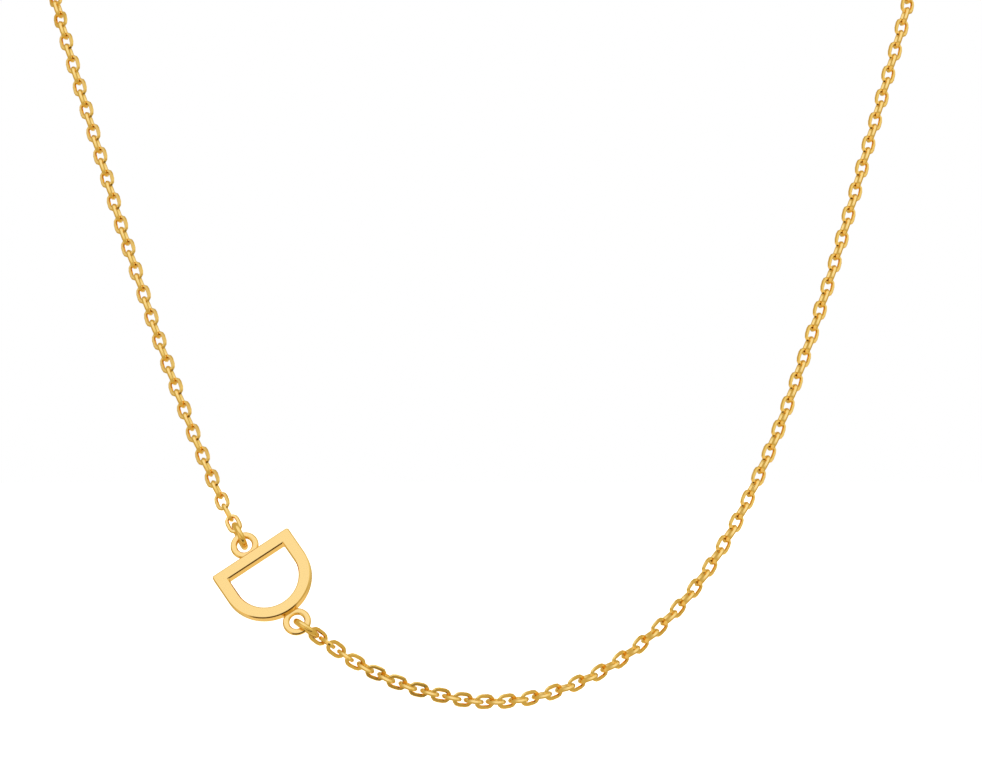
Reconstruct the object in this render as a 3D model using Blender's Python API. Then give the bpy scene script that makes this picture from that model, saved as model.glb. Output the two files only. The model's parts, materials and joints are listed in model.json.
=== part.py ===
"""Initial necklace in polished yellow gold: a flat block letter D set sideways in a cable chain.

It is modelled as it is worn. The origin is at the nape, where the clasp lies against the back of
the neck. +Z is up, the wearer faces -Y, and +X is to the right of somebody who looks at them.
Lengths are in metres and angles in degrees.
"""
import math

import bmesh
import bpy
from mathutils import Matrix, Vector

# Letter plate
LETTER_HEIGHT = 0.0101
LETTER_DEPTH = 0.00856
LETTER_THICKNESS = 0.0012
STEM_STROKE = 0.00132
ARM_STROKE = 0.00143
BOWL_STROKE = 0.0013
LETTER_CORNER_RADIUS = 0.0003
LETTER_EDGE_BEVEL = 0.00005

# Gap that is left between two wires that hook into each other
CLEARANCE = 0.00012

# Wires of the rings
JUMP_RING_WIRE = 0.0007
CLASP_JUMP_RING_WIRE = 0.0005
END_RING_WIRE = 0.0006

# Cable chain. The widest ring's wire passes through a link with some room at its sides
LINK_LENGTH = 0.00238
LINK_WIRE = 0.00041
LINK_SIDE_ROOM = 0.00012
LINK_WIDTH = max(JUMP_RING_WIRE, CLASP_JUMP_RING_WIRE, END_RING_WIRE) + LINK_SIDE_ROOM + 2 * LINK_WIRE
CHAIN_DIAMETER = 0.0013
CHAIN_STEP = 0.0055

# Ring eyes, soldered to the stem and to the tip of the bowl
EYE_HOLE_ROOM = 0.00096
EYE_HOLE_DIAMETER = JUMP_RING_WIRE + EYE_HOLE_ROOM
EYE_RIM = 0.00077
EYE_OUTER_DIAMETER = EYE_HOLE_DIAMETER + 2 * EYE_RIM
EYE_THICKNESS = 0.0006
EYE_SOLDER = 0.00027
EYE_BACK_STEP = 0.00005

# How the letter lies on the chest: rolled in its own plane, leaned back and turned to one side
LETTER_PLACE = (-0.02328, -0.10856, -0.10698)
LETTER_ROLL = 36.4
LETTER_LEAN = 23.0
LETTER_TURN = -9.5

# Jump rings through the eyes. Each drops a little past the middle of its eye, towards the letter, and
# reaches just past the swing of the eye's rim, where it holds a link
JUMP_RING_DROP = 0.00005
EYE_SWING_ROOM = 0.00015
JUMP_RING_REACH = EYE_OUTER_DIAMETER / 2 + EYE_SWING_ROOM + LINK_WIRE + CLEARANCE
JUMP_RING_OUTER_DIAMETER = JUMP_RING_REACH + JUMP_RING_DROP + 1.5 * JUMP_RING_WIRE
UPPER_RING_ROLL = 6.0
LOWER_RING_ROLL = 8.0

# Clasp, its jump ring and the ring that it closes on, all at the nape
CLASP_OUTER_DIAMETER = 0.0055
CLASP_TUBE = 0.0010
CLASP_EYE_WIRE = 0.0005
CLASP_EYE_ROOM = 0.0006
CLASP_EYE_OUTER_DIAMETER = CLASP_JUMP_RING_WIRE + CLASP_EYE_ROOM + 2 * CLASP_EYE_WIRE
CLASP_SOLDER = 0.0001
CLASP_JUMP_RING_ROOM = 0.00072
CLASP_JUMP_RING_OUTER_DIAMETER = 2 * CLASP_JUMP_RING_WIRE + CLASP_EYE_WIRE + LINK_WIRE + CLASP_JUMP_RING_ROOM
END_RING_ROOM = 0.00142
END_RING_OUTER_DIAMETER = 2 * END_RING_WIRE + CLASP_TUBE + LINK_WIRE + END_RING_ROOM

# Route of each strand, from the letter to the nape, chosen by hand
LEFT_ROUTE = [
    (-0.0289, -0.1040, -0.0979), (-0.0323, -0.1006, -0.0903), (-0.0354, -0.0970, -0.0825),
    (-0.0383, -0.0934, -0.0746), (-0.0411, -0.0898, -0.0666), (-0.0437, -0.0861, -0.0586),
    (-0.0463, -0.0825, -0.0506), (-0.0488, -0.0788, -0.0425), (-0.0508, -0.0728, -0.0347),
    (-0.0522, -0.0646, -0.0273), (-0.0527, -0.0543, -0.0202), (-0.0516, -0.0423, -0.0138),
    (-0.0478, -0.0299, -0.0083), (-0.0406, -0.0183, -0.0042), (-0.0300, -0.0086, -0.0016),
    (-0.0175, -0.0023, -0.0003),
]
RIGHT_ROUTE = [
    (-0.0138, -0.1122, -0.1155), (-0.0092, -0.1131, -0.1177), (-0.0044, -0.1137, -0.1191),
    (0.0004, -0.1140, -0.1198), (0.0056, -0.1138, -0.1194), (0.0107, -0.1131, -0.1178),
    (0.0156, -0.1120, -0.1152), (0.0199, -0.1106, -0.1117), (0.0238, -0.1088, -0.1075),
    (0.0271, -0.1068, -0.1027), (0.0299, -0.1047, -0.0977), (0.0335, -0.1014, -0.0899),
    (0.0365, -0.0981, -0.0819), (0.0394, -0.0946, -0.0737), (0.0420, -0.0912, -0.0655),
    (0.0445, -0.0877, -0.0573), (0.0470, -0.0843, -0.0491), (0.0494, -0.0809, -0.0410),
    (0.0513, -0.0747, -0.0332), (0.0525, -0.0660, -0.0259), (0.0528, -0.0553, -0.0190),
    (0.0515, -0.0430, -0.0128), (0.0475, -0.0303, -0.0077), (0.0402, -0.0184, -0.0038),
    (0.0299, -0.0087, -0.0014), (0.0180, -0.0025, -0.0003),
]

# Facets
BOWL_SIDES = 40
CORNER_SIDES = 4
EYE_SIDES = 36
RING_SIDES = 28
RING_WIRE_SIDES = 10
LINK_SIDES = 16
LINK_WIRE_SIDES = 6
SPAN_SAMPLES = 24

GOLD_POLISHED = (0.93, 0.68, 0.29, 1.0)
GOLD_PALE = (0.95, 0.72, 0.36, 1.0)


def clear_scene():
    for obj in list(bpy.data.objects):
        bpy.data.objects.remove(obj, do_unlink=True)


def gold(name, colour, roughness):
    """A polished yellow gold."""
    material = bpy.data.materials.new(name)
    material.use_nodes = True
    shader = material.node_tree.nodes["Principled BSDF"]
    shader.inputs["Base Color"].default_value = colour
    shader.inputs["Metallic"].default_value = 1.0
    shader.inputs["Roughness"].default_value = roughness
    return material


def add_object(name, mesh, matrix, material=None):
    obj = bpy.data.objects.new(name, mesh)
    obj.matrix_world = matrix
    if material:
        mesh.materials.append(material)
    bpy.context.collection.objects.link(obj)
    return obj


def as_cutter(obj):
    """Hide an operand of a boolean."""
    obj.hide_render = True
    obj.display_type = "WIRE"
    return obj


def add_boolean(obj, operation, operand):
    modifier = obj.modifiers.new(operation.title() + " " + operand.name, "BOOLEAN")
    modifier.operation = operation
    modifier.solver = "EXACT"
    modifier.object = operand


def arc(centre, radius, start, end, sides):
    """Points of an arc, both ends included, from start to end in degrees."""
    angles = [math.radians(start + (end - start) * i / sides) for i in range(sides + 1)]
    return [(centre[0] + radius * math.cos(a), centre[1] + radius * math.sin(a)) for a in angles]


def prism(name, outline, low, high):
    """A mesh that stands on the outline, from height low to height high."""
    bm = bmesh.new()
    base = bm.faces.new([bm.verts.new((x, y, low)) for x, y in outline])
    top = bmesh.ops.extrude_face_region(bm, geom=[base])
    moved = [item for item in top["geom"] if isinstance(item, bmesh.types.BMVert)]
    bmesh.ops.translate(bm, verts=moved, vec=(0, 0, high - low))
    bmesh.ops.recalc_face_normals(bm, faces=bm.faces)
    mesh = bpy.data.meshes.new(name)
    bm.to_mesh(mesh)
    bm.free()
    return mesh


def wire_loop(name, length, width, wire, sides, wire_sides):
    """A closed loop of round wire in the XY plane: two straight sides and two half-round ends."""
    radius = (width - wire) / 2
    straight = (length - width) / 2
    bm = bmesh.new()
    rows = []
    for i in range(sides):
        turn = 2 * math.pi * (i + 0.5) / sides
        outward = Vector((math.cos(turn), math.sin(turn), 0))
        centre = outward * radius + Vector((math.copysign(straight, outward.x), 0, 0))
        row = []
        for j in range(wire_sides):
            around = 2 * math.pi * j / wire_sides
            offset = outward * math.cos(around) + Vector((0, 0, math.sin(around)))
            row.append(bm.verts.new(centre + offset * wire / 2))
        rows.append(row)
    for i, row in enumerate(rows):
        following = rows[(i + 1) % sides]
        for j in range(wire_sides):
            k = (j + 1) % wire_sides
            bm.faces.new((row[j], following[j], following[k], row[k]))
    bmesh.ops.recalc_face_normals(bm, faces=bm.faces)
    mesh = bpy.data.meshes.new(name)
    bm.to_mesh(mesh)
    bm.free()
    mesh.shade_smooth()
    return mesh


def round_ring(name, outer_diameter, wire):
    return wire_loop(name, outer_diameter, outer_diameter, wire, RING_SIDES, RING_WIRE_SIDES)


def placed(origin, along, face):
    """A matrix at origin whose X runs along, and whose Z is turned as near to face as can be."""
    x_axis = along.normalized()
    z_axis = (face - x_axis * face.dot(x_axis)).normalized()
    y_axis = z_axis.cross(x_axis)
    turn = Matrix((x_axis, y_axis, z_axis)).transposed().to_4x4()
    return Matrix.Translation(origin) @ turn


def letter_matrix():
    """The letter's frame: X along the stem, Y from the bowl to the stem, Z out of the front."""
    upright = Matrix.Rotation(math.radians(90), 4, "X")
    roll = Matrix.Rotation(math.radians(-LETTER_ROLL), 4, "Y")
    lean = Matrix.Rotation(math.radians(-LETTER_LEAN), 4, "X")
    turn = Matrix.Rotation(math.radians(LETTER_TURN), 4, "Z")
    return Matrix.Translation(LETTER_PLACE) @ turn @ lean @ roll @ upright


def letter_outline(half_height, stem_edge, bowl_tip, corner_radius):
    """The block letter's outline, or its counter's: two square corners and a half-round bowl."""
    bowl = arc((0, bowl_tip + half_height), half_height, 180, 360, BOWL_SIDES)
    if not corner_radius:
        return bowl + [(half_height, stem_edge), (-half_height, stem_edge)]
    inset = half_height - corner_radius
    corner_y = stem_edge - corner_radius
    right = arc((inset, corner_y), corner_radius, 0, 90, CORNER_SIDES)
    left = arc((-inset, corner_y), corner_radius, 90, 180, CORNER_SIDES)
    return bowl + right + left


def build_letter(matrix, material):
    """The letter and its two eyes, soldered into one solid. Its origin lies between the eyes."""
    back = -EYE_THICKNESS / 2 - EYE_BACK_STEP
    front = back + LETTER_THICKNESS
    stem_edge = LETTER_DEPTH / 2
    bowl_tip = -LETTER_DEPTH / 2
    outline = letter_outline(LETTER_HEIGHT / 2, stem_edge, bowl_tip, LETTER_CORNER_RADIUS)
    letter = add_object("initial_letter", prism("initial_letter", outline, back, front), matrix, material)

    counter = letter_outline(
        LETTER_HEIGHT / 2 - ARM_STROKE, stem_edge - STEM_STROKE, bowl_tip + BOWL_STROKE, 0)
    counter_mesh = prism("counter", counter, back - LETTER_THICKNESS, front + LETTER_THICKNESS)
    add_boolean(letter, "DIFFERENCE", as_cutter(add_object("counter", counter_mesh, matrix)))

    for name, side in (("upper", 1), ("lower", -1)):
        centre = (0, side * eye_reach())
        disc = arc(centre, EYE_OUTER_DIAMETER / 2, 0, 360, EYE_SIDES)[:-1]
        hole = arc(centre, EYE_HOLE_DIAMETER / 2, 0, 360, EYE_SIDES)[:-1]
        disc_mesh = prism(name + "_eye", disc, -EYE_THICKNESS / 2, EYE_THICKNESS / 2)
        hole_mesh = prism(name + "_hole", hole, -LETTER_THICKNESS, LETTER_THICKNESS)
        add_boolean(letter, "UNION", as_cutter(add_object(name + "_eye", disc_mesh, matrix)))
        add_boolean(letter, "DIFFERENCE", as_cutter(add_object(name + "_hole", hole_mesh, matrix)))

    bevel = letter.modifiers.new("Edge bevel", "BEVEL")
    bevel.width = LETTER_EDGE_BEVEL
    bevel.segments = 1
    bevel.limit_method = "ANGLE"
    bevel.angle_limit = math.radians(50)
    return letter


def eye_reach():
    """Distance from the middle of the letter to the centre of either eye's hole."""
    return (LETTER_DEPTH + EYE_OUTER_DIAMETER) / 2 - EYE_SOLDER


def hook_on(wire_centre, wire, next_wire):
    """Where the near wire of the next link has its centre, hooked inside the wire at wire_centre."""
    return wire_centre - (wire + next_wire) / 2 - CLEARANCE


def build_jump_ring(name, eye, pull, face, roll, material):
    """A jump ring through an eye. It stands across the letter, in line with the chain's pull."""
    centre = eye + pull * ((JUMP_RING_OUTER_DIAMETER - JUMP_RING_WIRE) / 2 - JUMP_RING_DROP)
    across = Matrix.Rotation(math.radians(90 + roll), 3, pull) @ face
    mesh = round_ring(name, JUMP_RING_OUTER_DIAMETER, JUMP_RING_WIRE)
    return add_object(name, mesh, placed(centre, pull, across), material)


def end_link_distance():
    """Distance along the pull from an eye to the centre of the end link of a taut strand."""
    far_wire = JUMP_RING_OUTER_DIAMETER - JUMP_RING_WIRE - JUMP_RING_DROP
    return hook_on(far_wire, JUMP_RING_WIRE, LINK_WIRE) + (LINK_LENGTH - LINK_WIRE) / 2


def smooth_route(points):
    """A dense Catmull-Rom curve through the points, whose first and last span are straight on."""
    before = points[0] * 2 - points[1]
    after = points[-1] * 2 - points[-2]
    knots = [before] + points + [after]
    curve = []
    for a, b, c, d in zip(knots, knots[1:], knots[2:], knots[3:]):
        for i in range(SPAN_SAMPLES):
            t = i / SPAN_SAMPLES
            curve.append(0.5 * (2 * b + (c - a) * t + (2 * a - 5 * b + 4 * c - d) * t * t
                                + (3 * b - a - 3 * c + d) * t * t * t))
    curve.append(points[-1])
    return curve


def even_steps(curve, step):
    """Points at even steps along a dense curve, both of its ends included."""
    lengths = [0.0]
    for a, b in zip(curve, curve[1:]):
        lengths.append(lengths[-1] + (b - a).length)
    count = max(2, round(lengths[-1] / step))
    points = []
    i = 0
    for k in range(count + 1):
        target = lengths[-1] * k / count
        while i < len(curve) - 2 and lengths[i + 1] < target:
            i += 1
        share = (target - lengths[i]) / (lengths[i + 1] - lengths[i])
        points.append(curve[i].lerp(curve[i + 1], share))
    return points


def tube_mesh(name, points):
    """The mesh of a round tube with closed ends through the points."""
    curve = bpy.data.curves.new(name, "CURVE")
    curve.dimensions = "3D"
    curve.bevel_depth = CHAIN_DIAMETER / 2
    curve.bevel_resolution = 2
    curve.use_fill_caps = True
    spline = curve.splines.new("POLY")
    spline.points.add(len(points) - 1)
    for point, place in zip(spline.points, points):
        point.co = (*place, 1)
    guide = as_cutter(add_object(name + "_guide", curve, Matrix.Identity(4)))
    bpy.context.view_layer.update()
    evaluated = guide.evaluated_get(bpy.context.evaluated_depsgraph_get())
    mesh = bpy.data.meshes.new_from_object(evaluated)
    bm = bmesh.new()
    bm.from_mesh(mesh)
    bmesh.ops.remove_doubles(bm, verts=bm.verts, dist=0.000001)
    bmesh.ops.recalc_face_normals(bm, faces=bm.faces)
    bm.to_mesh(mesh)
    bm.free()
    mesh.shade_smooth()
    return mesh


def build_strand(name, route, first, last, material):
    """A strand of chain: a round tube along the route, with a real link fused to each of its ends.

    first and last are each a link's centre, the way from it into the strand, and its face.
    """
    reach = LINK_LENGTH / 2 - LINK_WIRE / 2
    start = first[0] + first[1] * reach
    end = last[0] + last[1] * reach
    lead = first[0] + first[1] * LINK_LENGTH
    run_out = last[0] + last[1] * LINK_LENGTH
    knots = [start, lead] + [Vector(p) for p in route] + [run_out, end]
    points = even_steps(smooth_route(knots), CHAIN_STEP)
    strand = add_object(name, tube_mesh(name, points), Matrix.Identity(4), material)
    for end_name, (centre, inward, face) in (("_first_link", first), ("_last_link", last)):
        mesh = wire_loop(name + end_name, LINK_LENGTH, LINK_WIDTH, LINK_WIRE, LINK_SIDES, LINK_WIRE_SIDES)
        link = add_object(name + end_name, mesh, placed(centre, inward, face))
        add_boolean(strand, "UNION", as_cutter(link))
    return strand


def build_clasp(material):
    """The clasp as one plain ring round the origin, with a small eye soldered to its left."""
    flat = placed(Vector((0, 0, 0)), Vector((1, 0, 0)), Vector((0, 1, 0)))
    clasp = add_object("clasp", round_ring("clasp", CLASP_OUTER_DIAMETER, CLASP_TUBE), flat, material)
    eye_place = Matrix.Translation((clasp_eye_x(), 0, 0)) @ flat
    eye_mesh = round_ring("clasp_eye", CLASP_EYE_OUTER_DIAMETER, CLASP_EYE_WIRE)
    add_boolean(clasp, "UNION", as_cutter(add_object("clasp_eye", eye_mesh, eye_place)))
    return clasp


def clasp_eye_x():
    return -(CLASP_OUTER_DIAMETER + CLASP_EYE_OUTER_DIAMETER) / 2 + CLASP_SOLDER


def build_nape_ring(name, side, wire_x, wire, outer_diameter, ring_wire, material):
    """A ring hooked on the wire at distance wire_x to one side of the origin.

    It lies across the clasp. Returns the distance of its far wire.
    """
    near = hook_on(wire_x, wire, ring_wire)
    far = near + outer_diameter - ring_wire
    centre = Vector((side * (near + far) / 2, 0, 0))
    matrix = placed(centre, Vector((side, 0, 0)), Vector((0, 0, 1)))
    add_object(name, round_ring(name, outer_diameter, ring_wire), matrix, material)
    return far


def nape_link(side, far_wire, wire):
    """The last link of a strand, hooked on a ring at the nape."""
    near = hook_on(far_wire, wire, LINK_WIRE)
    centre = Vector((side * (near + (LINK_LENGTH - LINK_WIRE) / 2), 0, 0))
    return centre, Vector((side, 0, 0)), Vector((0, 1, 0))


def build():
    clear_scene()
    polished = gold("polished_gold", GOLD_POLISHED, 0.14)
    pale = gold("letter_gold", GOLD_PALE, 0.10)

    matrix = letter_matrix()
    axis = matrix.to_3x3() @ Vector((0, 1, 0))
    face = matrix.to_3x3() @ Vector((0, 0, 1))
    middle = Vector(LETTER_PLACE)
    build_letter(matrix, pale)

    upper_eye = middle + axis * eye_reach()
    upper_pull = (Vector(LEFT_ROUTE[0]) - upper_eye).normalized()
    build_jump_ring("upper_jump_ring", upper_eye, upper_pull, face, UPPER_RING_ROLL, polished)

    lower_eye = middle - axis * eye_reach()
    lower_pull = (Vector(RIGHT_ROUTE[0]) - lower_eye).normalized()
    build_jump_ring("lower_jump_ring", lower_eye, lower_pull, face, LOWER_RING_ROLL, polished)

    build_clasp(polished)
    clasp_eye_far = -clasp_eye_x() + (CLASP_EYE_OUTER_DIAMETER - CLASP_EYE_WIRE) / 2
    left_far = build_nape_ring("clasp_jump_ring", -1, clasp_eye_far, CLASP_EYE_WIRE,
                               CLASP_JUMP_RING_OUTER_DIAMETER, CLASP_JUMP_RING_WIRE, polished)
    clasp_far = (CLASP_OUTER_DIAMETER - CLASP_TUBE) / 2
    right_far = build_nape_ring("end_ring", 1, clasp_far, CLASP_TUBE,
                                END_RING_OUTER_DIAMETER, END_RING_WIRE, polished)

    upper_link = (upper_eye + upper_pull * end_link_distance(), upper_pull, face)
    left_last = nape_link(-1, left_far, CLASP_JUMP_RING_WIRE)
    build_strand("left_chain", LEFT_ROUTE, upper_link, left_last, polished)

    lower_link = (lower_eye + lower_pull * end_link_distance(), lower_pull, face)
    right_last = nape_link(1, right_far, END_RING_WIRE)
    build_strand("right_chain", RIGHT_ROUTE, lower_link, right_last, polished)


build()
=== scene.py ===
"""The looks of an initial necklace in polished yellow gold: a sideways block letter D in a cable chain.

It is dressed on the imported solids, in metres, with +Z up and the front of the necklace towards -Y. The
sections follow the goldsmith's work: the letter, its jump rings, the fittings at the nape, and last the
chain that joins them.
"""

import json
import math

import bpy
from mathutils import Matrix, Vector


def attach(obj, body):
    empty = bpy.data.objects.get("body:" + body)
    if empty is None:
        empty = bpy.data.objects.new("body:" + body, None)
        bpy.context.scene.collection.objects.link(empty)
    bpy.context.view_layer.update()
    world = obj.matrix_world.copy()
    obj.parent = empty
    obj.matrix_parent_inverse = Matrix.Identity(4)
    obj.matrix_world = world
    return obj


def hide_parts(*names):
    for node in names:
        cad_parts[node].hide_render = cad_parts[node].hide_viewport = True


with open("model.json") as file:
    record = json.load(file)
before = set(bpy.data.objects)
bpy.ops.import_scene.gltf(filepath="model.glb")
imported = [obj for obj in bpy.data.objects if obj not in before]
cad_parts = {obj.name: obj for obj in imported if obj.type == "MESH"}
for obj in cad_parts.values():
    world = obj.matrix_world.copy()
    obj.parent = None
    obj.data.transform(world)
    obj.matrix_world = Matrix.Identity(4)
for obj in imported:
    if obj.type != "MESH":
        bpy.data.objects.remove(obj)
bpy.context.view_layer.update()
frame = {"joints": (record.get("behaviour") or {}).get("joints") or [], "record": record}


# Camera
# The photo looks at the necklace from straight in front, level with the middle of what it shows,
# through a long lens. The scale holds in the plane that is REFERENCE_DISTANCE from the lens.
CAMERA_PLACE = (0.0012, -0.760, -0.0848)
REFERENCE_DISTANCE = 0.650
PHOTO_WIDTH_PIXELS = 982
PIXELS_PER_METRE = 9020

bpy.ops.object.camera_add(location=CAMERA_PLACE, rotation=(math.radians(90), 0, 0))
camera = bpy.context.object
camera.name = "photo_camera"
photo_width = PHOTO_WIDTH_PIXELS / PIXELS_PER_METRE
camera.data.lens = camera.data.sensor_width * REFERENCE_DISTANCE / photo_width
bpy.context.scene.camera = camera
bpy.context.scene.view_settings.view_transform = "Standard"


# Gold
# Every piece is of one alloy, a warm yellow gold of about 14 carat, polished bright. Under a loupe the
# polish has faint waves and hairlines, which are bump and roughness here and change no outline.
GOLD_PALE = (0.955, 0.708, 0.300, 1.0)
GOLD_RICH = (0.942, 0.718, 0.270, 1.0)
TONE_PATCHES_PER_METRE = 140.0
HAIRLINES_PER_METRE = (9000.0, 900.0, 9000.0)
HAIRLINE_SHARE_OF_WAVE = 0.04
HAIRLINE_ROUGHNESS = 0.05


class Sum:
    """A value in a material's nodes. Sums written with it add the Math nodes that work them out."""

    def __init__(self, finish, socket):
        self.finish = finish
        self.socket = socket

    def math(self, operation, first, second):
        return self.finish.node("ShaderNodeMath", {"operation": operation}, {0: first, 1: second})

    def __add__(self, other):
        return self.math("ADD", self, other)

    def __sub__(self, other):
        return self.math("SUBTRACT", self, other)

    def __rsub__(self, other):
        return self.math("SUBTRACT", other, self)

    def __mul__(self, other):
        return self.math("MULTIPLY", self, other)

    __radd__ = __add__
    __rmul__ = __mul__


class Finish:
    """The nodes of one material, or of the studio round the piece, while they are put together."""

    def __init__(self, owner):
        owner.use_nodes = True
        self.owner = owner
        self.tree = owner.node_tree

    def feed(self, socket, value):
        if isinstance(value, Sum):
            self.tree.links.new(value.socket, socket)
        else:
            socket.default_value = value

    def node(self, kind, settings, values, output=0):
        added = self.tree.nodes.new(kind)
        for key, value in settings.items():
            setattr(added, key, value)
        for key, value in values.items():
            self.feed(added.inputs[key], value)
        return Sum(self, added.outputs[output])

    def noise(self, place, scale, detail):
        return self.node("ShaderNodeTexNoise", {}, {"Vector": place, "Scale": scale, "Detail": detail})

    def mixed(self, share, first, second):
        return self.node("ShaderNodeMix", {"data_type": "RGBA"},
                         {"Factor": share, "A": first, "B": second}, "Result")

    def surface(self, **values):
        for key, value in values.items():
            self.feed(self.tree.nodes["Principled BSDF"].inputs[key.replace("_", " ")], value)


def polished_gold(name, roughness, wave_size, wave_height, drifting):
    """Pale yellow gold with polishing waves and hairlines. A drifting tone turns richer in patches."""
    finish = Finish(bpy.data.materials.new(name))
    place = finish.node("ShaderNodeTexCoord", {}, {}, "Object")
    tone = GOLD_PALE
    if drifting:
        drift = finish.noise(place, scale=TONE_PATCHES_PER_METRE, detail=2.0)
        tone = finish.mixed(drift, GOLD_PALE, GOLD_RICH)
    waves = finish.noise(place, scale=1 / wave_size, detail=1.0)
    stretched = finish.node("ShaderNodeMapping", {}, {"Vector": place, "Scale": HAIRLINES_PER_METRE})
    hairs = finish.noise(stretched, scale=1.0, detail=3.0)
    bump = finish.node("ShaderNodeBump", {}, {
        "Strength": 1.0, "Distance": wave_height, "Height": waves + hairs * HAIRLINE_SHARE_OF_WAVE})
    finish.surface(Base_Color=tone, Metallic=1.0, Normal=bump,
                   Roughness=hairs * HAIRLINE_ROUGHNESS + (roughness - HAIRLINE_ROUGHNESS / 2))
    return finish.owner


letter_gold = polished_gold(
    "letter_gold", roughness=0.10, wave_size=0.0012, wave_height=0.0000020, drifting=False)
wire_gold = polished_gold(
    "wire_gold", roughness=0.12, wave_size=0.0005, wave_height=0.0000010, drifting=True)


def finished(piece, body, material, replaced):
    """Give a piece its metal, and hang it on its body in place of its solid."""
    piece.data.materials.clear()
    piece.data.materials.append(material)
    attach(piece, body)
    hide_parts(replaced)


# Letter
# A block D pierced from plate and laid on its bowl, with its stem towards the upper strand. Its faces
# are flat and bright, and one narrow flat cut eases its edges. An eye is soldered to the stem and another
# to the tip of the bowl, and the eyes' rims are taken down in three flat cuts.
LETTER_HEIGHT = 0.0101
LETTER_DEPTH = 0.00856
LETTER_THICKNESS = 0.0012
STEM_STROKE = 0.00132
ARM_STROKE = 0.00143
BOWL_STROKE = 0.0013
LETTER_CORNER_RADIUS = 0.0003
LETTER_CORNER_CUTS = 8
LETTER_EDGE_EASING = 0.00012
LETTER_EDGE_CUTS = 1
EYE_OUTER_DIAMETER = 0.0032
EYE_HOLE_DIAMETER = 0.00166
EYE_THICKNESS = 0.0006
EYE_SOLDER = 0.00027
EYE_BACK_STEP = 0.00005
EYE_EDGE_EASING = 0.00028
EYE_EDGE_CUTS = 3
EASED_FROM_ANGLE = math.radians(40)
LETTER_CREASE_ANGLE = math.radians(25)
BOWL_SIDES = 192
EYE_SIDES = 72
SAME_PLACE = 1e-6

letter_middle = Vector(frame["joints"][0]["pos_m"])
letter_across = Vector(frame["joints"][0]["axis"])
letter_face = -Vector(next(m["axis"] for m in frame["record"]["mounts"] if m["name"] == "letter_back"))
letter_along = letter_across.cross(letter_face)
letter_turn = Matrix((letter_along, letter_across, letter_face)).transposed().to_4x4()
letter_matrix = Matrix.Translation(letter_middle) @ letter_turn
plate_back = -EYE_THICKNESS / 2 - EYE_BACK_STEP
plate_front = plate_back + LETTER_THICKNESS
eye_reach = (LETTER_DEPTH + EYE_OUTER_DIAMETER) / 2 - EYE_SOLDER


def select_edges(wanted):
    """In edit mode, select only the edges whose middle passes the test."""
    bpy.ops.mesh.select_all(action="DESELECT")
    bpy.ops.object.mode_set(mode="OBJECT")
    mesh = bpy.context.object.data
    for edge in mesh.edges:
        start, end = (mesh.vertices[i].co for i in edge.vertices)
        edge.select = wanted((start + end) / 2)
    bpy.ops.object.mode_set(mode="EDIT")


def d_blank(name, half_height, stem_edge, bowl_tip, low, high):
    """A solid D on its bowl: half a disc, drawn up to the stem's edge and then through the thickness."""
    bend = bowl_tip + half_height
    bpy.ops.object.select_all(action="DESELECT")
    bpy.ops.mesh.primitive_circle_add(
        vertices=BOWL_SIDES, radius=half_height, fill_type="NGON", location=(0, bend, low))
    blank = bpy.context.object
    blank.name = name
    bpy.ops.object.transform_apply()
    bpy.ops.object.mode_set(mode="EDIT")
    bpy.ops.mesh.select_mode(type="EDGE")
    bpy.ops.mesh.select_all(action="SELECT")
    bpy.ops.mesh.bisect(plane_co=(0, bend, low), plane_no=(0, 1, 0), clear_outer=True)
    select_edges(lambda middle: abs(middle.y - bend) < SAME_PLACE)
    bpy.ops.mesh.extrude_region_move(TRANSFORM_OT_translate={"value": (0, stem_edge - bend, 0)})
    bpy.ops.mesh.select_all(action="SELECT")
    bpy.ops.mesh.extrude_region_move(TRANSFORM_OT_translate={"value": (0, 0, high - low)})
    bpy.ops.mesh.select_all(action="SELECT")
    bpy.ops.mesh.normals_make_consistent(inside=False)
    bpy.ops.object.mode_set(mode="OBJECT")
    return blank


def disc(name, diameter, place, low, high):
    """A round blank in the plane of the letter, at a place on the line through both eyes."""
    bpy.ops.object.select_all(action="DESELECT")
    bpy.ops.mesh.primitive_cylinder_add(vertices=EYE_SIDES, radius=diameter / 2, depth=high - low,
                                        location=(0, place, (low + high) / 2))
    made = bpy.context.object
    made.name = name
    bpy.ops.object.transform_apply()
    return made


def apply_modifier(piece, kind, **settings):
    """Put a modifier on a piece and apply it."""
    bpy.ops.object.select_all(action="DESELECT")
    piece.select_set(True)
    bpy.context.view_layer.objects.active = piece
    bpy.ops.object.modifier_add(type=kind)
    modifier = piece.modifiers[-1]
    for key, value in settings.items():
        setattr(modifier, key, value)
    bpy.ops.object.modifier_apply(modifier=modifier.name)


def ease_edges(piece, width, cuts):
    """Take the sharp edges off a piece, in a number of flat cuts."""
    apply_modifier(piece, "BEVEL", width=width, segments=cuts, limit_method="ANGLE",
                   angle_limit=EASED_FROM_ANGLE)


def join_or_cut(piece, operation, tool):
    """Join a tool's solid to a piece, or cut it out, and remove the tool."""
    apply_modifier(piece, "BOOLEAN", operation=operation, solver="EXACT", object=tool)
    bpy.data.objects.remove(tool)


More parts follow.
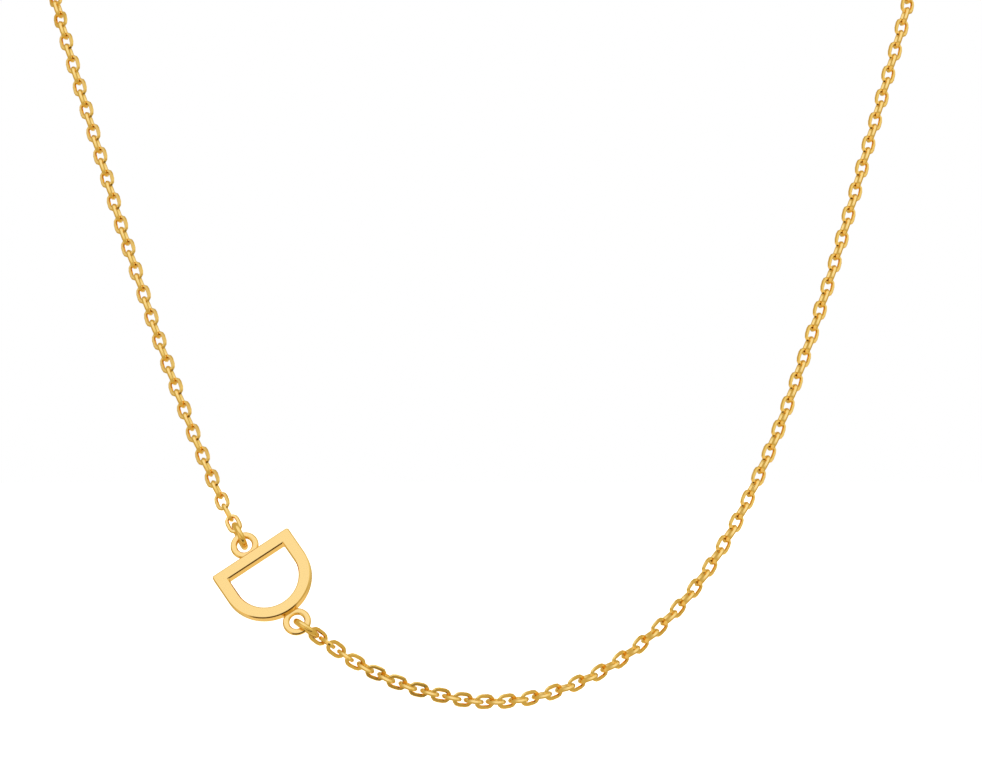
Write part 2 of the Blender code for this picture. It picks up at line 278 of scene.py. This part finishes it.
stem_edge = LETTER_DEPTH / 2
bowl_tip = -LETTER_DEPTH / 2
letter = d_blank("initial_letter_d", LETTER_HEIGHT / 2, stem_edge, bowl_tip, plate_back, plate_front)
bpy.ops.object.mode_set(mode="EDIT")
select_edges(lambda middle: abs(abs(middle.x) - LETTER_HEIGHT / 2) < SAME_PLACE
             and abs(middle.y - stem_edge) < SAME_PLACE)
bpy.ops.mesh.bevel(offset=LETTER_CORNER_RADIUS, segments=LETTER_CORNER_CUTS)
bpy.ops.object.mode_set(mode="OBJECT")
counter = d_blank("counter", LETTER_HEIGHT / 2 - ARM_STROKE, stem_edge - STEM_STROKE,
                  bowl_tip + BOWL_STROKE, plate_back - LETTER_THICKNESS, plate_front + LETTER_THICKNESS)
join_or_cut(letter, "DIFFERENCE", counter)
ease_edges(letter, LETTER_EDGE_EASING, LETTER_EDGE_CUTS)
for side in (1, -1):
    eye_place = side * eye_reach
    eye = disc("eye", EYE_OUTER_DIAMETER, eye_place, -EYE_THICKNESS / 2, EYE_THICKNESS / 2)
    join_or_cut(eye, "DIFFERENCE",
                disc("eye_hole", EYE_HOLE_DIAMETER, eye_place, -LETTER_THICKNESS, LETTER_THICKNESS))
    ease_edges(eye, EYE_EDGE_EASING, EYE_EDGE_CUTS)
    join_or_cut(letter, "UNION", eye)
bpy.ops.object.shade_smooth_by_angle(angle=LETTER_CREASE_ANGLE)
apply_modifier(letter, "WEIGHTED_NORMAL", keep_sharp=True)
letter.data.transform(letter_matrix)
finished(letter, "letter", letter_gold, "initial_letter")


# Jump rings
# Round wire bent to a ring, one through each eye and soldered shut. Each stands nearly edge-on to the
# letter, hangs in line with the pull of its strand, and holds the strand's end link.
JUMP_RING_WIRE = 0.0007
JUMP_RING_OUTER_DIAMETER = 0.00338
JUMP_RING_DROP = 0.00005
UPPER_RING_ROLL = 6.0
LOWER_RING_ROLL = 8.0
RING_BEND_STEPS = 40
RING_WIRE_SIDES = 24
EYE_TO_RING_CENTRE = (JUMP_RING_OUTER_DIAMETER - JUMP_RING_WIRE) / 2 - JUMP_RING_DROP
WIRE_CREASE_ANGLE = math.radians(35)

# The way each strand takes from its jump ring to the nape
LEFT_ROUTE = [
    (-0.0289, -0.1040, -0.0979), (-0.0323, -0.1006, -0.0903), (-0.0354, -0.0970, -0.0825),
    (-0.0383, -0.0934, -0.0746), (-0.0411, -0.0898, -0.0666), (-0.0437, -0.0861, -0.0586),
    (-0.0463, -0.0825, -0.0506), (-0.0488, -0.0788, -0.0425), (-0.0508, -0.0728, -0.0347),
    (-0.0522, -0.0646, -0.0273), (-0.0527, -0.0543, -0.0202), (-0.0516, -0.0423, -0.0138),
    (-0.0478, -0.0299, -0.0083), (-0.0406, -0.0183, -0.0042), (-0.0300, -0.0086, -0.0016),
    (-0.0175, -0.0023, -0.0003),
]
RIGHT_ROUTE = [
    (-0.0138, -0.1122, -0.1155), (-0.0092, -0.1131, -0.1177), (-0.0044, -0.1137, -0.1191),
    (0.0004, -0.1140, -0.1198), (0.0056, -0.1138, -0.1194), (0.0107, -0.1131, -0.1178),
    (0.0156, -0.1120, -0.1152), (0.0199, -0.1106, -0.1117), (0.0238, -0.1088, -0.1075),
    (0.0271, -0.1068, -0.1027), (0.0299, -0.1047, -0.0977), (0.0335, -0.1014, -0.0899),
    (0.0365, -0.0981, -0.0819), (0.0394, -0.0946, -0.0737), (0.0420, -0.0912, -0.0655),
    (0.0445, -0.0877, -0.0573), (0.0470, -0.0843, -0.0491), (0.0494, -0.0809, -0.0410),
    (0.0513, -0.0747, -0.0332), (0.0525, -0.0660, -0.0259), (0.0528, -0.0553, -0.0190),
    (0.0515, -0.0430, -0.0128), (0.0475, -0.0303, -0.0077), (0.0402, -0.0184, -0.0038),
    (0.0299, -0.0087, -0.0014), (0.0180, -0.0025, -0.0003),
]


def bent_wire(name, length, width, wire, bend_steps, wire_sides):
    """A closed loop of wire in the XY plane, bent as on a former: arm, half turn, arm, half turn.

    The wire has wire_sides flats, and the thickness is measured from one flat to the opposite one.
    """
    radius = (width - wire) / 2
    corner_radius = wire / 2 / math.cos(math.pi / wire_sides)
    arm = length - width
    bpy.ops.object.select_all(action="DESELECT")
    bpy.ops.mesh.primitive_circle_add(vertices=wire_sides, radius=corner_radius,
                                      location=(-arm / 2, -radius, 0), rotation=(0, math.radians(90), 0))
    loop = bpy.context.object
    loop.name = name
    bpy.ops.object.transform_apply()
    bpy.ops.object.mode_set(mode="EDIT")
    bpy.ops.mesh.select_all(action="SELECT")
    for side in (1, -1):
        if arm > SAME_PLACE:
            bpy.ops.mesh.extrude_region_move(TRANSFORM_OT_translate={"value": (side * arm, 0, 0)})
        bpy.ops.mesh.spin(steps=bend_steps, angle=math.pi, center=(side * arm / 2, 0, 0), axis=(0, 0, -1))
    bpy.ops.mesh.select_all(action="SELECT")
    bpy.ops.mesh.remove_doubles(threshold=SAME_PLACE)
    bpy.ops.mesh.normals_make_consistent(inside=False)
    bpy.ops.object.mode_set(mode="OBJECT")
    bpy.ops.object.shade_smooth_by_angle(angle=WIRE_CREASE_ANGLE)
    return loop


def placed(origin, along, face):
    """A matrix at origin whose X runs along, and whose Z is turned as near to face as can be."""
    x_axis = along.normalized()
    z_axis = (face - x_axis * face.dot(x_axis)).normalized()
    y_axis = z_axis.cross(x_axis)
    return Matrix.Translation(origin) @ Matrix((x_axis, y_axis, z_axis)).transposed().to_4x4()


def plain_ring(name, outer_diameter, wire):
    """A ring of round wire in the XY plane, round the origin."""
    return bent_wire(name, outer_diameter, outer_diameter, wire, RING_BEND_STEPS, RING_WIRE_SIDES)


def ring_at_eye(name, side, route, roll, replaced):
    """A jump ring through an eye, in line with the pull of its strand. Returns the eye and the pull."""
    eye = letter_middle + letter_across * side * eye_reach
    pull = (Vector(route[0]) - eye).normalized()
    centre = eye + pull * EYE_TO_RING_CENTRE
    across = Matrix.Rotation(math.radians(90 + roll), 3, pull) @ letter_face
    ring = plain_ring(name, JUMP_RING_OUTER_DIAMETER, JUMP_RING_WIRE)
    ring.data.transform(placed(centre, pull, across))
    finished(ring, "necklace", wire_gold, replaced)
    return eye, pull


upper_eye, upper_pull = ring_at_eye("upper_ring", 1, LEFT_ROUTE, UPPER_RING_ROLL, "upper_jump_ring")
lower_eye, lower_pull = ring_at_eye("lower_ring", -1, RIGHT_ROUTE, LOWER_RING_ROLL, "lower_jump_ring")


# Fittings at the nape
# Out of the photo's sight the chain closes with one plain ring clasp with a small soldered eye. A jump
# ring joins that eye to the left strand, and the clasp shuts on the plain end ring of the right strand.
CLASP_OUTER_DIAMETER = 0.0055
CLASP_TUBE = 0.0010
CLASP_EYE_OUTER_DIAMETER = 0.0021
CLASP_EYE_WIRE = 0.0005
CLASP_SOLDER = 0.0001
CLASP_JUMP_RING_OUTER_DIAMETER = 0.00263
CLASP_JUMP_RING_WIRE = 0.0005
END_RING_OUTER_DIAMETER = 0.00403
END_RING_WIRE = 0.0006
HOOK_GAP = 0.00012

clasp_eye_x = -(CLASP_OUTER_DIAMETER + CLASP_EYE_OUTER_DIAMETER) / 2 + CLASP_SOLDER
upright = placed(Vector(), Vector((1, 0, 0)), Vector((0, 1, 0)))
clasp = plain_ring("clasp_ring", CLASP_OUTER_DIAMETER, CLASP_TUBE)
clasp.data.transform(upright)
clasp_eye = plain_ring("clasp_eye", CLASP_EYE_OUTER_DIAMETER, CLASP_EYE_WIRE)
clasp_eye.data.transform(Matrix.Translation((clasp_eye_x, 0, 0)) @ upright)
join_or_cut(clasp, "UNION", clasp_eye)
finished(clasp, "necklace", wire_gold, "clasp")


def ring_at_nape(name, side, wire_x, wire, outer_diameter, ring_wire, replaced):
    """A ring hooked on the wire at wire_x, across the clasp. Returns X at the inside of its far end."""
    near = wire_x - (wire + ring_wire) / 2 - HOOK_GAP
    far = near + outer_diameter - ring_wire
    ring = plain_ring(name, outer_diameter, ring_wire)
    ring.data.transform(
        placed(Vector((side * (near + far) / 2, 0, 0)), Vector((side, 0, 0)), Vector((0, 0, 1))))
    finished(ring, "necklace", wire_gold, replaced)
    return side * (far - ring_wire / 2)


clasp_eye_wire_x = -clasp_eye_x + (CLASP_EYE_OUTER_DIAMETER - CLASP_EYE_WIRE) / 2
left_ring_x = ring_at_nape("clasp_ring_link", -1, clasp_eye_wire_x, CLASP_EYE_WIRE,
                           CLASP_JUMP_RING_OUTER_DIAMETER, CLASP_JUMP_RING_WIRE, "clasp_jump_ring")
right_ring_x = ring_at_nape("end_ring_plain", 1, (CLASP_OUTER_DIAMETER - CLASP_TUBE) / 2, CLASP_TUBE,
                            END_RING_OUTER_DIAMETER, END_RING_WIRE, "end_ring")


# Cable chain
# Oval links, each soldered shut through its neighbours and turned a quarter from them. Their wire has six
# flats, which glint one by one. Flat links alternate with cross links, and where the chain is slack the
# two lean opposite ways.
LINK_LENGTH = 0.00238
LINK_WIDTH = 0.00164
LINK_WIRE = 0.00041
LINK_GAP = 0.00001
LINK_BEND_STEPS = 6
LINK_WIRE_SIDES = 6
SPAN_SAMPLES = 24
END_TO_END = LINK_LENGTH - LINK_WIRE
BEND_PLACE = (LINK_LENGTH - LINK_WIDTH) / 2
BEND_PLAY = (LINK_WIDTH - 3 * LINK_WIRE) / 2 - LINK_GAP
TAUT_PITCH = END_TO_END + 2 * (BEND_PLACE + BEND_PLAY)
SLACKEST_PITCH = 0.00242
SLACKEST_RIDE = math.radians(60)
LEAD_IN = (END_TO_END + LINK_LENGTH) / 2

# From the inside of a ring to the middle of the link wire hooked in it, and from an eye to that wire
HOOKED_END = HOOK_GAP + LINK_WIRE / 2
EYE_TO_FIRST_END = EYE_TO_RING_CENTRE + JUMP_RING_OUTER_DIAMETER / 2 - JUMP_RING_WIRE - HOOKED_END

# How far along each strand it leaves the photo
LEFT_HIDDEN_FROM = 0.072
RIGHT_HIDDEN_FROM = 0.130

# Pitch from one flat link to the next, by distance along the strand
LEFT_PITCHES = [(0.000, 0.00309), (0.003, 0.00299), (0.012, 0.00302), (0.025, 0.00307)]
RIGHT_PITCHES = [
    (0.000, 0.00250), (0.005, 0.00262), (0.010, 0.00258), (0.017, 0.00243), (0.020, 0.00244),
    (0.027, 0.00275), (0.039, 0.00288), (0.041, 0.00304), (0.070, 0.00308),
]

# The way that the flat links face, by distance along the strand
LEFT_FACES = [
    (0.000, (-0.15, -0.91, 0.39)), (0.005, (-0.36, -0.89, 0.28)), (0.067, (-0.36, -0.88, 0.30)),
    (0.095, (-0.80, -0.50, 0.33)), (0.120, (-0.95, 0.00, 0.30)), (0.150, (-0.70, 0.65, 0.30)),
    (0.180, (0.00, 1.00, 0.00)),
]
RIGHT_FACES = [
    (0.000, (-0.15, -0.91, 0.39)), (0.008, (-0.02, -0.97, -0.24)), (0.017, (0.02, -1.00, -0.07)),
    (0.024, (0.04, -0.98, -0.15)), (0.030, (0.11, -0.98, -0.18)), (0.038, (0.24, -0.95, -0.18)),
    (0.048, (0.37, -0.92, -0.09)), (0.060, (0.41, -0.90, 0.03)), (0.075, (0.41, -0.88, 0.12)),
    (0.125, (0.36, -0.89, 0.25)), (0.155, (0.80, -0.50, 0.33)), (0.180, (0.95, 0.00, 0.30)),
    (0.210, (0.70, 0.65, 0.30)), (0.240, (0.00, 1.00, 0.00)),
]


def read_table(table, at):
    """The value of a table at a distance, straight between its rows."""
    if at <= table[0][0]:
        return table[0][1]
    for (low, before), (high, after) in zip(table, table[1:]):
        if at <= high:
            share = (at - low) / (high - low)
            if isinstance(before, tuple):
                return Vector(before).lerp(Vector(after), share)
            return before + (after - before) * share
    return table[-1][1]


def smooth_route(points):
    """A dense cubic curve through the points, which runs straight on at both ends."""
    knots = [points[0] * 2 - points[1]] + points + [points[-1] * 2 - points[-2]]
    curve = []
    for a, b, c, d in zip(knots, knots[1:], knots[2:], knots[3:]):
        for i in range(SPAN_SAMPLES):
            t = i / SPAN_SAMPLES
            curve.append(0.5 * (2 * b + (c - a) * t + (2 * a - 5 * b + 4 * c - d) * t * t
                                + (3 * b - a - 3 * c + d) * t * t * t))
    curve.append(points[-1])
    return curve


def flat_link_starts(length, pitches, hidden_from):
    """Where the flat links start along a strand. Its hidden stretch takes up what is left over."""
    starts = [0.0]
    while starts[-1] < length - END_TO_END:
        starts.append(starts[-1] + read_table(pitches, starts[-1]))
    spare = (length - END_TO_END - hidden_from) / (starts[-1] - hidden_from)
    return [at if at < hidden_from else hidden_from + (at - hidden_from) * spare for at in starts]


def fold(pitch):
    """Lean of a flat link, lean of the cross link after it, and the flat link's share of the pitch.

    With the cross link's two hold points the links make a triangle on the pitch. As the chain slackens
    the flat links' ends ride sideways round the inside of the cross link's bends.
    """
    slack = max(0.0, min(1.0, (TAUT_PITCH - pitch) / (TAUT_PITCH - SLACKEST_PITCH)))
    ride = SLACKEST_RIDE * slack
    hold = Vector((BEND_PLACE + BEND_PLAY * math.cos(ride), BEND_PLAY * math.sin(ride)))
    reach = 2 * hold.length
    lean_cosine = (END_TO_END ** 2 + pitch ** 2 - reach ** 2) / (2 * END_TO_END * pitch)
    flat_lean = math.acos(min(1.0, lean_cosine))
    hold_lean = math.asin(END_TO_END * math.sin(flat_lean) / reach)
    return flat_lean, hold_lean - math.atan2(hold.y, hold.x), END_TO_END * math.cos(flat_lean)


def chain_strand(name, route, eye, pull, nape_x, pitches, faces, hidden_from, replaced):
    """A strand of interlocking links, from the jump ring at an eye to the ring at the nape."""
    side = math.copysign(1, nape_x)
    first_end = eye + pull * EYE_TO_FIRST_END
    last_end = Vector((nape_x - side * HOOKED_END, 0, 0))
    curve = smooth_route([first_end, first_end + pull * LEAD_IN] + [Vector(point) for point in route]
                         + [last_end + Vector((side * LEAD_IN, 0, 0)), last_end])
    lengths = [0.0]
    for a, b in zip(curve, curve[1:]):
        lengths.append(lengths[-1] + (b - a).length)

    def point_at(at):
        i = next((k for k, length in enumerate(lengths) if k and length >= at), len(curve) - 1)
        return curve[i - 1].lerp(curve[i], (at - lengths[i - 1]) / (lengths[i] - lengths[i - 1]))

    starts = flat_link_starts(lengths[-1], pitches, hidden_from)
    leans = []
    for at, after in zip(starts, starts[1:]):
        flat_lean, cross_lean, share = fold(after - at)
        leans.append((at + share / 2, -flat_lean, False))
        leans.append(((at + share + after) / 2, cross_lean, True))
    leans.append((starts[-1] + END_TO_END / 2, 0.0, False))

    link = bent_wire("link", LINK_LENGTH, LINK_WIDTH, LINK_WIRE, LINK_BEND_STEPS, LINK_WIRE_SIDES)
    links = []
    for at, lean, is_cross in leans:
        way = (point_at(at + LINK_LENGTH / 2) - point_at(at - LINK_LENGTH / 2)).normalized()
        face = Vector(read_table(faces, at))
        face = (face - way * face.dot(way)).normalized()
        along = way * math.cos(lean) + face * math.sin(lean)
        if is_cross:
            face = along.cross(face)
        copy = link.copy()
        copy.data = link.data.copy()
        copy.data.transform(placed(point_at(at), along, face))
        bpy.context.collection.objects.link(copy)
        links.append(copy)
    bpy.data.objects.remove(link)
    bpy.ops.object.select_all(action="DESELECT")
    for copy in links:
        copy.select_set(True)
    bpy.context.view_layer.objects.active = links[0]
    bpy.ops.object.join()
    strand = bpy.context.object
    strand.name = name
    finished(strand, "necklace", wire_gold, replaced)


chain_strand("left_links", LEFT_ROUTE, upper_eye, upper_pull, left_ring_x,
             LEFT_PITCHES, LEFT_FACES, LEFT_HIDDEN_FROM, "left_chain")
chain_strand("right_links", RIGHT_ROUTE, lower_eye, lower_pull, right_ring_x,
             RIGHT_PITCHES, RIGHT_FACES, RIGHT_HIDDEN_FROM, "right_chain")


# Studio
# A plain pale floor under a plain white surround. A broad soft light stands above and in front, and the
# metal sees a warm room round it. A dark board low in front draws the dark line along the letter's lower
# edges, and a warm card low at the left lights the lower sides of the rings.
FLOOR_Z = -0.20
FLOOR_SIZE = 12.0
FLOOR_PAINT = (0.9, 0.9, 0.9, 1.0)
FLOOR_ROUGHNESS = 0.9
WHITE = (1.0, 1.0, 1.0, 1.0)
SOFTBOX_WHITE = (1.04, 1.00, 0.96, 1.0)
ROOM_AMBER = (0.62, 0.48, 0.20, 1.0)
ROOM_FILL = (0.92, 0.82, 0.55, 1.0)
ROOM_WARM = (0.90, 0.70, 0.38, 1.0)
ROOM_DARK = (0.11, 0.065, 0.015, 1.0)

# What stands where in the room: the way towards it, and the cosines of the angles from that way at which
# it begins and is full. The board is a ring with an open middle, and only its low side is there.
BACK_CARD = ((0.20, 0.72, -0.67), 0.78, 0.92)
LEFT_CARD = ((-0.66, -0.65, -0.38), 0.78, 0.90)
RIGHT_FILL = ((0.40, -0.45, 0.80), 0.60, 0.85)
SOFTBOX = ((-0.15, -0.55, 0.82), 0.72, 0.93)
BOARD_RIM = ((-0.136, -0.962, 0.237), 0.36, 0.43)
BOARD_OPENING = ((-0.136, -0.962, 0.237), 0.60, 0.66)
BOARD_LOW_SIDE = ((0.10, -0.30, -0.95), 0.52, 0.66)

bpy.ops.object.select_all(action="DESELECT")
bpy.ops.mesh.primitive_plane_add(size=FLOOR_SIZE, location=(0, 0, FLOOR_Z))
floor = bpy.context.object
floor.name = "pale_floor"
floor_finish = Finish(bpy.data.materials.new("pale_floor"))
floor_finish.surface(Base_Color=FLOOR_PAINT, Roughness=FLOOR_ROUGHNESS, Emission_Color=WHITE,
                     Emission_Strength=1.0)
floor.data.materials.append(floor_finish.owner)
floor.visible_glossy = False

world = bpy.data.worlds.new("studio")
bpy.context.scene.world = world
studio = Finish(world)
ray = studio.node("ShaderNodeLightPath", {}, {}, "Is Camera Ray")
direction = studio.node("ShaderNodeTexCoord", {}, {}, "Generated")


def lit_from(toward, edge, full):
    """How much a direction lies within a cone, from 0 outside its soft edge to 1, by cosines."""
    near = studio.node("ShaderNodeVectorMath", {"operation": "DOT_PRODUCT"},
                       {0: direction, 1: Vector(toward).normalized()}, "Value")
    return studio.node("ShaderNodeMapRange", {"interpolation_type": "SMOOTHSTEP"},
                       {"Value": near, "From Min": edge, "From Max": full})


board = lit_from(*BOARD_RIM) * (1.0 - lit_from(*BOARD_OPENING))
room = studio.mixed(lit_from(*BACK_CARD), ROOM_AMBER, ROOM_WARM)
room = studio.mixed(lit_from(*LEFT_CARD), room, ROOM_WARM)
room = studio.mixed(lit_from(*RIGHT_FILL), room, ROOM_FILL)
room = studio.mixed(board * lit_from(*BOARD_LOW_SIDE), room, ROOM_DARK)
room = studio.mixed(lit_from(*SOFTBOX), room, SOFTBOX_WHITE)
studio.feed(world.node_tree.nodes["Background"].inputs["Color"], studio.mixed(ray, room, WHITE))
